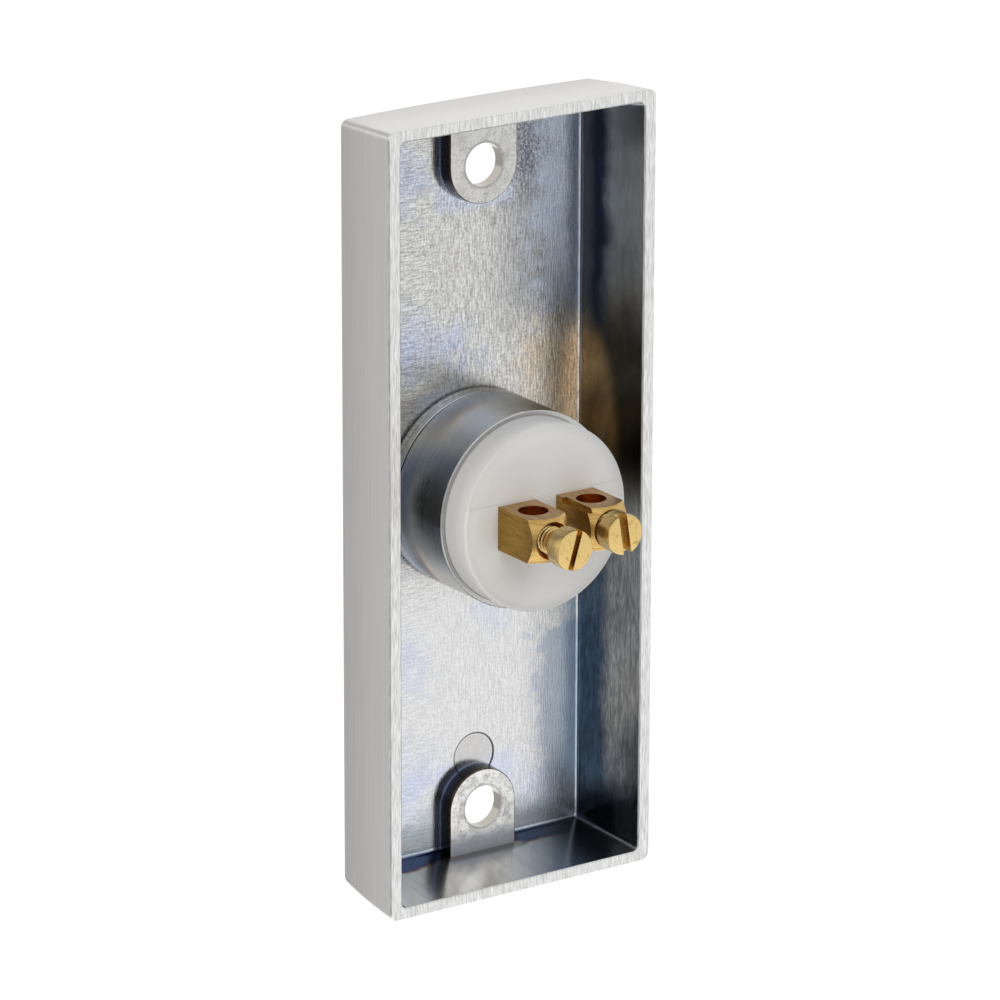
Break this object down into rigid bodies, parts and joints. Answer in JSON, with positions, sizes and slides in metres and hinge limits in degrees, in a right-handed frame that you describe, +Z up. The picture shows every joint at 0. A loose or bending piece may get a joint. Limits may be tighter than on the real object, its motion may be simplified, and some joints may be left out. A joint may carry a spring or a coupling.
{
  "type": "bell push",
  "caption": "Rectangular satin chrome bell push with curved sides, an open back, a sprung round button, a barrel on the casing floor and brass screw terminals in a white insulating plug.",
  "frame": {"origin": "centre of the back rim, in the plane that meets the wall", "axes": "+Z up as fixed beside the door, +Y into the wall, the button faces -Y"},
  "size_m": [0.0324, 0.0286, 0.083],
  "materials": {
    "satin_chrome": "satin brushed plating over a casting",
    "barrel_metal": "turned, faint heat tint near the base",
    "white_nylon": "satin moulded, slightly milky",
    "terminal_brass": "sawn and turned, satin",
    "screw_brass": "turned, slightly tarnished",
    "button_plastic": "polished moulding",
    "spring_steel": "drawn wire"
  },
  "bodies": {
    "casing": {"casing": "satin_chrome", "barrel": "barrel_metal", "terminal_holder": "white_nylon", "terminal_a": "terminal_brass", "terminal_b": "terminal_brass", "fixed_contact_a": "terminal_brass", "fixed_contact_b": "terminal_brass", "return_spring": "spring_steel"},
    "button": {"push_button": "button_plastic", "contact_bridge": "screw_brass", "bridge_screw": "screw_brass"},
    "screw_a": {"clamp_screw_a": "screw_brass"},
    "screw_b": {"clamp_screw_b": "screw_brass"}
  },
  "joints": [
    {"name": "button_press", "type": "slide", "parent": "casing", "child": "button", "axis": [0, 1, 0], "range_m": [0, 0.0015], "stiffness_N_per_m": 700, "springref_m": -0.0015, "deforming": ["return_spring"]},
    {"name": "clamp_a", "type": "slide", "parent": "casing", "child": "screw_a", "axis": [0, -1, 0], "range_m": [0, 0.0016]},
    {"name": "clamp_b", "type": "slide", "parent": "casing", "child": "screw_b", "axis": [0, -1, 0], "range_m": [-0.0015, 0.0003]}
  ]
}
